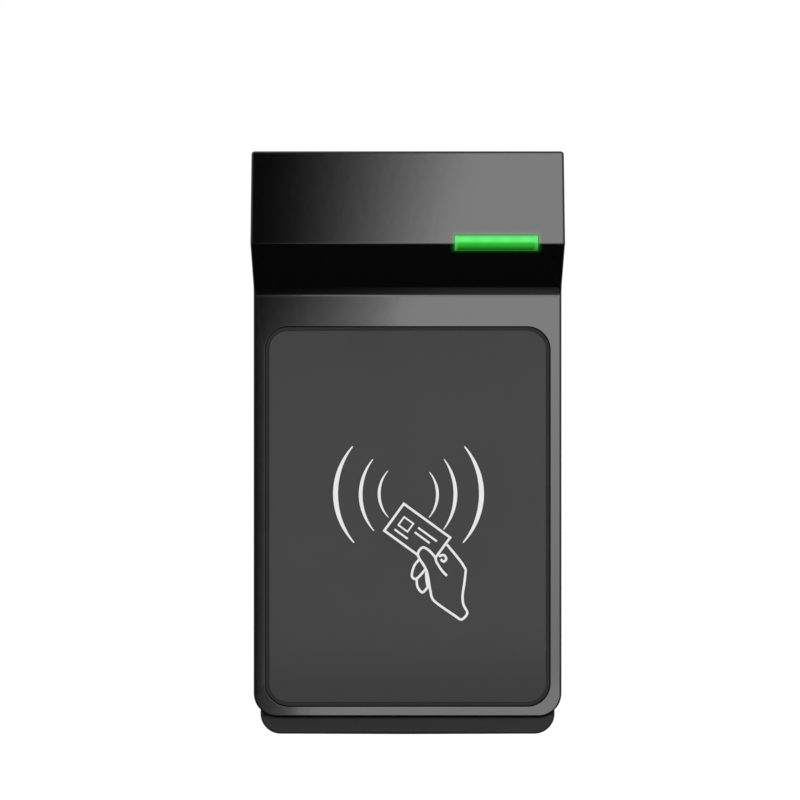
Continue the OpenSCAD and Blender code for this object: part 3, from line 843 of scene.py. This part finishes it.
legs_round = Layout("legs_round_case", {"Legs": "Int", "Pitch": "Float", "Sides": "Int", "Centre": "Vector"})
first_leg = (legs_round.given("Legs") - 1) * legs_round.given("Pitch") * -0.5
one_side = legs_round.row(legs_round.given("Blank"), legs_round.given("Legs"), legs_round.vector(first_leg),
                          legs_round.vector(legs_round.given("Pitch")))
side_turn = legs_round.node("GeometryNodeInputIndex") * (2 * math.pi) / legs_round.given("Sides")
legs_round.close(legs_round.row(one_side, legs_round.given("Sides"), legs_round.given("Centre"),
                                turn=legs_round.vector(y=side_turn)))

epoxy = Finish("chip_epoxy")
epoxy.mottle(epoxy.noise(0.08, detail=2), (0.009, 0.009, 0.0095), (0.016, 0.016, 0.0165), rough=(0.42, 0.2),
             relief=0.008)
tin = Finish("tin_plate", Metallic=1.0)
tin.mottle(tin.noise(0.35), (0.33, 0.33, 0.32), (0.47, 0.47, 0.46), rough=(0.26, 0.22))

# Node, case size across and up, legs a side and their pitch, and sides that have legs.
chips = (
    ("reader_chip", 5, 5, 8, 0.5556, 4),
    ("controller_chip", 7, 7, 12, 0.5385, 4),
    ("regulator_chip", 6.5, 3.5, 3, 1.625, 2),
)
for node, case_x, case_z, legs, pitch, sides in chips:
    at = Box(node)
    foot = at.half_tall - case_z / 2
    waist = board_face + (at.front - board_face) * 0.45

    def lay_case(bm):
        block(bm, (at.x, at.z), case_x / 2, case_z / 2, [
            (board_face + 0.08, 0.12), (waist - 0.03, 0), (waist + 0.03, 0), (at.front - 0.03, 0.12),
            (at.front, 0.15)])

    def lay_leg(bm):
        sole = board_face + 0.07
        if foot > 0.5:
            path = [(-0.1, waist), (foot * 0.22, waist), (foot * 0.32, waist - 0.08),
                    (foot * 0.45, sole + 0.06), (foot * 0.55, sole), (foot, sole)]
        else:
            path = [(-0.35, sole), (foot, sole)]
        strip(bm, [Vector(p) for p in path], [0.13] * len(path), -0.12, 0.12,
              lambda away, depth, across: (across, depth, case_z / 2 + away))

    piece(node + "_case", meshed(lay_case), epoxy, [node])
    leg_mesh = legs_round.shaped(meshed(lay_leg), tin, {
        "Legs": legs, "Pitch": pitch * MM, "Sides": sides, "Centre": metres(at.x, 0, at.z)})
    piece(node + "_legs", leg_mesh, tin)

# ---- Crystal, resistors and diodes ----
# Small parts soldered flat on the board: a ceramic crystal with a metal lid, chip resistors
# and capacitors with tinned ends, and four white diodes with a phosphor window.

ceramic = Finish("brown_ceramic")
ceramic.mottle(ceramic.noise(0.25), (0.16, 0.1, 0.052), (0.25, 0.17, 0.1), rough=(0.42, 0.2))

crystal = Box("crystal")
crystal_half = crystal.half_wide
lid_half = crystal_half - 0.2
base_mesh = meshed(block, (crystal.x, crystal.z), crystal_half, crystal_half, [
    (board_face, 0.03), (board_face + 0.03, 0), (board_face + 0.28, 0), (board_face + 0.3, 0.03)], 0.3)
piece("crystal_base", base_mesh, ceramic, ["crystal"])
lid_mesh = meshed(block, (crystal.x, crystal.z), lid_half, lid_half, [
    (board_face + 0.3, 0), (crystal.front - 0.12, 0), (crystal.front - 0.03, 0.06),
    (crystal.front, 0.18)], 0.35)
piece("crystal_lid", lid_mesh, tin)

# Name, first one's place, how many, step, half width and length, height, and the node they stand for.
parts_rows = (
    ("resistors", (3.9, 21.9), 6, 2.0, 0.5, 0.9, 0.6, ["small_parts"]),
    ("filters", (-17.5, 16.9), 6, 2.0, 0.5, 0.9, 0.6, []),
    ("capacitors", (2.6, 35.0), 4, 2.2, 0.6, 1.0, 0.8, []),
)
end_half = 0.2
for name, first, count, step, half_x, half_z, tall, stands_for in parts_rows:
    top = board_face + tall

    def lay_ends(bm):
        for side in (-1, 1):
            block(bm, (0, side * (half_z - end_half)), half_x, end_half, [
                (board_face, 0.03), (board_face + 0.03, 0), (top - 0.03, 0), (top, 0.03)], 0.06, 2)

    body_blank = meshed(block, (0, 0), half_x - 0.03, half_z - end_half, [
        (board_face + 0.03, 0.02), (top - 0.03, 0.02)], 0.04, 2)
    set_out(name + "_bodies", body_blank, ceramic, first, count, step, stands_for=stands_for)
    set_out(name + "_ends", meshed(lay_ends), tin, first, count, step)

led_case = Finish("diode_case", Roughness=0.4)
led_case.mottle(led_case.noise(0.2), (0.27, 0.27, 0.26), (0.33, 0.33, 0.32))
phosphor = Finish("phosphor_window", Roughness=0.25, Coat_Weight=0.5)
phosphor.mottle(phosphor.noise(0.12, detail=2), (0.3, 0.27, 0.05), (0.38, 0.35, 0.1))
leds = Box("status_leds")
led_half = 1.5
first_led = (leds.left + led_half, leds.z)
led_blank = meshed(block, (0, 0), led_half, 0.9, [
    (board_face, 0), (leds.front - 0.3, 0), (leds.front, 0.08)], 0.12)
set_out("status_diodes", led_blank, led_case, first_led, 4, led_pitch, stands_for=["status_leds"])
window_r = 0.68
window_blank = lathe([
    (0, leds.front - 0.1), (window_r, leds.front - 0.1), (window_r, leds.front + 0.01),
    (0.4, leds.front + 0.05), (0, leds.front + 0.06)], sides=20)
set_out("diode_windows", window_blank, phosphor, first_led, 4, led_pitch)

# ---- Light shroud ----
# White moulded frame that keeps the diodes' light in the light bar's stem.

white_moulding = Finish("white_moulding")
white_moulding.mottle(white_moulding.noise(0.3, detail=2), (0.28, 0.28, 0.27), (0.33, 0.33, 0.32),
                      rough=(0.45, 0.15), relief=0.01)
rounded_copy("light_shroud", "light_shroud_frame", white_moulding, 0.15)

# ---- Capacitor and sounder ----
# An aluminium can crimped on a black foot, with a dark band printed on its end, and a round
# black sounder with a port in its face.

capacitor = Box("bulk_capacitor")
can_r = 3.15
can_low = board_face + 0.6
can_end = capacitor.front
can = Finish("aluminium_can")
drawn_lines = can.noise(0.3, detail=4, stretch=(1, 0.1, 1))
can_mark = (can.along("X") > (capacitor.x + 1.3) * MM) * (can.along("Y") < (0.25 - can_end) * MM)
bare_can = can.mixed(drawn_lines, (0.38, 0.38, 0.39), (0.48, 0.48, 0.49))
can.feed("Base Color", can.mixed(can_mark, bare_can, (0.02, 0.02, 0.03)))
can.feed("Metallic", 1 - 0.8 * can_mark)
can.feed("Roughness", 0.24 + 0.2 * drawn_lines)
crimp_r = can_r - 0.22
can_blank = lathe([
    (0, can_low), (can_r - 0.15, can_low), (can_r, can_low + 0.15), (can_r, can_low + 0.7),
    (crimp_r, can_low + 0.95), (crimp_r, can_low + 1.15), (can_r, can_low + 1.4),
    (can_r, can_end - 0.4), (can_r - 0.12, can_end - 0.1), (can_r - 0.4, can_end), (0, can_end)],
    (capacitor.x, 0, capacitor.z), sides=48)
can_mesh = recessed(can_blank, can, 2, 4.4, 0.16, 0.08, (capacitor.x, can_end, capacitor.z))
piece("capacitor_can", can_mesh, can, ["bulk_capacitor"])
foot_half = capacitor.half_wide
piece("capacitor_foot", meshed(block, (capacitor.x, capacitor.z), foot_half, foot_half, [
    (board_face, 0.05), (board_face + 0.05, 0), (board_face + 0.7, 0), (board_face + 0.8, 0.1)], 1.1, 4),
    epoxy)

sounder = Box("sounder")
sounder_r = sounder.half_wide
sounder_end = sounder.front
sounder_mesh = lathe([
    (0, board_face), (sounder_r - 0.2, board_face), (sounder_r, board_face + 0.2),
    (sounder_r, board_face + 1.2), (sounder_r - 0.15, board_face + 1.35),
    (sounder_r - 0.15, sounder_end - 0.5), (sounder_r - 0.6, sounder_end), (1.2, sounder_end),
    (1.0, sounder_end - 0.2), (1.0, sounder_end - 0.8), (0, sounder_end - 0.8)],
    (sounder.x, 0, sounder.z), sides=56)
piece("sounder_case", sounder_mesh, epoxy, ["sounder"])

# ---- Terminal block ----
# Eight-way green screw terminal with its mouths downwards. A slotted screw closes each tinned
# clamp, and each way is soldered through the board.

terminal_green = Finish("terminal_moulding")
terminal_green.mottle(terminal_green.noise(0.6), (0.011, 0.078, 0.027), (0.018, 0.12, 0.042),
                      rough=(0.38, 0.15))
rounded_copy("terminal_block", "terminal_housing", terminal_green, 0.15)
rounded_copy("terminal_clamps", "terminal_clamp_boxes", tin, 0.06)
poles = 8
solder_row = 20.4
at = Box("terminal_screws")
slotted_r = at.half_tall
first_pole = at.left + slotted_r
pole_pitch = 2 * (at.half_wide - slotted_r) / (poles - 1)
slot_blank = lathe([
    (0, at.rear), (slotted_r - 0.15, at.rear), (slotted_r, at.rear + 0.15), (slotted_r, at.rear + 0.6),
    *run(slotted_r, at.rear + 0.65, at.front - 0.2, thread(0.5, 0.16), 0.1), (slotted_r - 0.3, at.front),
    (0, at.front)], sides=24)
slotted = recessed(slot_blank, zinc, 1, 2.8, 0.4, 0.4, (0, at.rear, 0))
set_out("terminal_slotted_screws", slotted, zinc, (first_pole, at.z), poles, pole_pitch,
        stands_for=["terminal_screws"])

solder = Finish("solder", Metallic=1.0)
solder.mottle(solder.noise(0.3, detail=2), (0.3, 0.3, 0.31), (0.42, 0.42, 0.43), rough=(0.18, 0.2))


def solder_cone(base, out, radius, tall):
    """A fillet of solder round a cut-off pin, out from the board's face at `base` by `out` = 1 or -1."""
    return lathe([
        (0, base), (radius, base), (radius * 0.62, base + out * tall * 0.25),
        (radius * 0.42, base + out * tall * 0.6), (radius * 0.3, base + out * tall * 0.9),
        (0, base + out * tall)], sides=16)


pole_cone = solder_cone(board_face, 1, 0.55, 0.9)
set_out("terminal_solder", pole_cone, solder, (first_pole, solder_row), poles, pole_pitch)

# ---- Antenna ----
# Behind the panel: a white foam pad, a board with a spiral of copper track, a dark ferrite
# sheet over it, and two red leads that run up to the main board.

pad_foam = Finish("white_foam", Roughness=0.9)
pad_foam.mottle(pad_foam.cells(0.25), (0.3, 0.29, 0.265), (0.2, 0.19, 0.17), relief=0.06)
rounded_copy("antenna_pad", "antenna_foam_pad", pad_foam, 0.12)

copper = Finish("copper_track", Metallic=1.0)
tarnish = copper.noise(2.5, detail=5, roughness=0.65)
copper.mottle(tarnish, (0.5, 0.21, 0.1), (0.3, 0.12, 0.06), rough=(0.24, 0.25))
rounded_copy("antenna_coil", "antenna_copper_coil", copper, 0.03, segments=1)

ferrite = Finish("ferrite_sheet_skin")
sinter = ferrite.noise(0.7, detail=5, roughness=0.7)
ferrite.mottle(sinter, (0.022, 0.021, 0.019), (0.04, 0.037, 0.034), rough=(0.45, 0.3))
rounded_copy("ferrite_sheet", "ferrite_shield_sheet", ferrite, 0.06)

red_sleeve = Finish("red_sleeve")
red_sleeve.mottle(red_sleeve.noise(0.5), (0.2, 0.009, 0.007), (0.3, 0.015, 0.012), rough=(0.35, 0.15))
rounded_copy("antenna_leads", "antenna_lead_pair", red_sleeve, [])
leads = Box("antenna_leads")
lead_r = 0.35
lead_x = leads.half_wide - lead_r
lead_cone = solder_cone(Box("antenna_coil").rear, -1, 0.75, 0.55)
set_out("lead_solder", lead_cone, solder, (-lead_x, leads.bottom + lead_r), 2, 2 * lead_x)

# ---- Tamper switch ----
# A push switch on the board's rear, the natural nylon plunger that works it, and the wire
# spring that pushes the plunger out towards the wall.

switch_black = Finish("switch_moulding")
switch_black.mottle(switch_black.noise(0.25, detail=2), (0.011, 0.011, 0.0115), (0.018, 0.018, 0.0185),
                    rough=(0.32, 0.2))
rounded_copy("tamper_switch", "tamper_push_switch", switch_black, 0.1)

nylon = Finish("natural_nylon", Subsurface_Weight=0.15, Subsurface_Scale=1.0 * MM)
nylon.mottle(nylon.noise(0.8), (0.24, 0.235, 0.205), (0.3, 0.295, 0.265), rough=(0.38, 0.15))
plunger = Box("tamper_plunger")
coils = Box("tamper_spring")
flange_r = plunger.half_wide
flange_front = coils.rear
flange_rear = flange_front - 1
plunger_end = plunger.front
pin_r = 1.5
nose_r = 1.1
piece("tamper_plunger_pin", lathe([
    (0, 0), (pin_r - 0.7, 0.02), (pin_r - 0.25, 0.12), (pin_r, 0.4), (pin_r, flange_rear),
    (flange_r - 0.1, flange_rear), (flange_r, flange_rear + 0.1), (flange_r, flange_front - 0.1),
    (flange_r - 0.1, flange_front), (nose_r, flange_front), (nose_r, plunger_end - 0.2),
    (nose_r - 0.2, plunger_end), (0, plunger_end)], (plunger.x, 0, plunger.z)),
    nylon, ["tamper_plunger"], "tamper_plunger")

# Winds a spring along the depth from named sizes.
winding = Layout("wound_spring", {
    "Turns": "Float", "Coil radius": "Float", "Wire radius": "Float", "Length": "Float", "Start": "Vector"})
helix = winding.node("GeometryNodeCurveSpiral", {}, {
    "Resolution": 28, "Rotations": winding.given("Turns"), "Start Radius": winding.given("Coil radius"),
    "End Radius": winding.given("Coil radius"), "Height": winding.given("Length")})
wire_section = winding.node("GeometryNodeCurvePrimitiveCircle", {}, {
    "Resolution": 10, "Radius": winding.given("Wire radius")})
wound = winding.node("GeometryNodeCurveToMesh", {}, {
    "Curve": helix, "Profile Curve": wire_section, "Fill Caps": True})
winding.close(winding.node("GeometryNodeTransform", {}, {
    0: wound, "Translation": winding.given("Start"), "Rotation": (math.pi / 2, 0, 0)}))

wire_r = 0.22
spring_finish = Finish("spring_wire", Metallic=1.0)
spring_finish.mottle(spring_finish.noise(0.3), (0.28, 0.285, 0.3), (0.4, 0.405, 0.42), rough=(0.22, 0.2))
spring_mesh = winding.shaped(bpy.data.meshes.new("tamper_spring_wire"), spring_finish, {
    "Turns": 5.0, "Coil radius": (coils.half_wide - wire_r) * MM, "Wire radius": wire_r * MM,
    "Length": (coils.front - coils.rear - 2 * wire_r) * MM,
    "Start": metres(plunger.x, coils.rear + wire_r, plunger.z)})
smooth_shaded(spring_mesh, 60)
spring = piece("tamper_spring_wire", spring_mesh, spring_finish, ["tamper_spring"], None)
metres(plunger.x, coils.front, plunger.z)
metres(plunger.x, coils.rear, plunger.z)
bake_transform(spring)

# ---- Studio ----
# A pale floor far below, a white surround, and soft panels of light. The reader hangs free
# of the floor, as it does on a wall.

scene = bpy.context.scene
scene.view_settings.view_transform = "Standard"

world = bpy.data.worlds.new("white_surround")
world.use_nodes = True
world.node_tree.nodes["Background"].inputs["Color"].default_value = (1, 1, 1, 1)
world.node_tree.nodes["Background"].inputs["Strength"].default_value = 1.02
world.cycles_visibility.glossy = False
scene.world = world


class Glow(Bench):
    """A studio surface that gives light of its own."""

    def __init__(self, name):
        self.material = bpy.data.materials.new(name)
        self.material.use_nodes = True
        self.tree = self.material.node_tree
        self.tree.nodes.clear()

    def clipped(self, value):
        return self.sum("MINIMUM", self.sum("MAXIMUM", value, 0.0), 1.0)

    def close(self, strength):
        glow = self.node("ShaderNodeEmission", {}, {"Color": (1, 1, 1, 1), "Strength": strength})
        self.node("ShaderNodeOutputMaterial", {}, {0: glow}, out=None)


def staged(name, mesh, finish):
    """A studio surface that the camera and the shadows leave out."""
    mesh.materials.append(finish.material)
    obj = bpy.data.objects.new(name, mesh)
    scene.collection.objects.link(obj)
    obj.visible_camera = False
    obj.visible_shadow = False
    obj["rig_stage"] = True
    return obj


card_distance = 1.016


def card(name, corners, strength, reach=None, fade=None):
    """A flat panel of light in front, in metres. `reach` is where along X it rises from dark to full, and
    how much the rise widens for each metre of height. `fade` is the heights where it is dark and full."""
    mesh = bpy.data.meshes.new(name)
    mesh.from_pydata([(x, -card_distance, z) for x, z in corners], [], [range(len(corners))])
    glow = Glow(name)
    level = strength
    if reach:
        start, width, widening = reach
        rise = (glow.along("X") - start) / (width + widening * glow.along("Z"))
        level = strength * glow.clipped(rise) ** 2
    if fade:
        dark, full = fade
        level = level * glow.clipped((glow.along("Z") - dark) / (full - dark))
    glow.close(level)
    staged(name, mesh, glow)


card("front_card_right", [(-0.016, -0.2), (0.3, -0.2), (0.3, 0.2), (0.027, 0.2), (-0.009, 0.05)], 5.1,
     fade=(-0.9, 0.06))
card("front_card_left", [(-0.15, -0.2), (-0.016, -0.2), (-0.009, 0.05), (0.027, 0.2), (-0.15, 0.2)], 4.6,
     reach=(-0.145, 0.15, 0.1))
card("front_card_foot", [(-0.078, -0.25), (0.3, -0.25), (0.3, -0.2), (-0.078, -0.2)], 4.5)
card("front_card_foot_left", [(-0.15, -0.25), (-0.078, -0.25), (-0.078, -0.2), (-0.15, -0.2)], 4.6,
     reach=(-0.145, 0.122, 0.0))
card("front_card_side", [(0.3, -0.4), (0.85, -0.4), (0.85, 0.75), (0.3, 0.75)], 2.0)
card("front_card_high", [(-0.2, 0.27), (0.3, 0.27), (0.3, 0.75), (-0.2, 0.75)], 5.0,
     reach=(-0.108, 0.003, 0.3))
card("front_card_low", [(-0.3, -2.3), (0.3, -2.3), (0.3, -0.25), (-0.3, -0.25)], 0.55,
     reach=(-0.15, 0.2, 0.0), fade=(-2.3, -0.25))

# A tent of white cloth all round, dark in front of the reader and below it, that the gloss
# mirrors from the sides.
tent_r = 2.6
tent_glow = Glow("tent_cloth")
ahead = tent_glow.along("Y") / -tent_r
height_up = tent_glow.along("Z") / tent_r
beside = tent_glow.clipped((math.cos(math.radians(24)) - ahead) / 0.35)
above = tent_glow.clipped((height_up + 0.75) / 0.5)
tent_glow.close((0.35 + 0.6 * tent_glow.clipped(height_up + 0.5)) * beside * above)
tent_mesh = meshed(lambda bm: bmesh.ops.create_uvsphere(bm, u_segments=48, v_segments=24, radius=tent_r))
tent = staged("light_tent", tent_mesh, tent_glow)
tent.visible_diffuse = False
tent.visible_transmission = False


def softbox(name, place, size, power):
    lamp = bpy.data.lights.new(name, "AREA")
    lamp.shape = "RECTANGLE"
    lamp.size, lamp.size_y = size
    lamp.energy = power
    obj = bpy.data.objects.new(name, lamp)
    obj.location = place
    obj.rotation_euler = (-Vector(place)).to_track_quat("-Z", "Y").to_euler()
    obj.visible_camera = False
    obj.visible_glossy = False
    scene.collection.objects.link(obj)


softbox("left_softbox", (-1.3, -0.25, 0.25), (0.8, 1.2), 9)
softbox("right_softbox", (1.3, -0.25, 0.25), (0.8, 1.2), 14)
softbox("top_softbox", (0.0, -0.1, 1.3), (1.2, 0.8), 12)
softbox("rear_softbox", (0.3, 1.3, 0.4), (1.4, 0.9), 12)

floor_r = 1.5
floor_z = -0.45
floor_turns = [a * math.pi / 32 for a in range(64)]
floor_mesh = bpy.data.meshes.new("studio_floor")
floor_mesh.from_pydata([(floor_r * math.cos(a), floor_r * math.sin(a), floor_z) for a in floor_turns],
                       [], [range(len(floor_turns))])
floor_paint = Finish("floor_paint", Base_Color=(0.93, 0.93, 0.93, 1))
floor_paint.feed("Roughness", 0.85 + 0.1 * floor_paint.noise(50))
floor_mesh.materials.append(floor_paint.material)
floor = bpy.data.objects.new("studio_floor", floor_mesh)
floor.visible_glossy = False
scene.collection.objects.link(floor)
floor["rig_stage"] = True

lens = bpy.data.cameras.new("camera")
lens.sensor_width = 36
lens.lens = 85.35
lens.clip_start = 0.01
camera = bpy.data.objects.new("camera", lens)
camera.location = (-0.0016, -0.416, 0.0075)
camera.rotation_euler = (math.radians(90), 0, 0)
scene.collection.objects.link(camera)
scene.camera = camera

low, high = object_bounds()
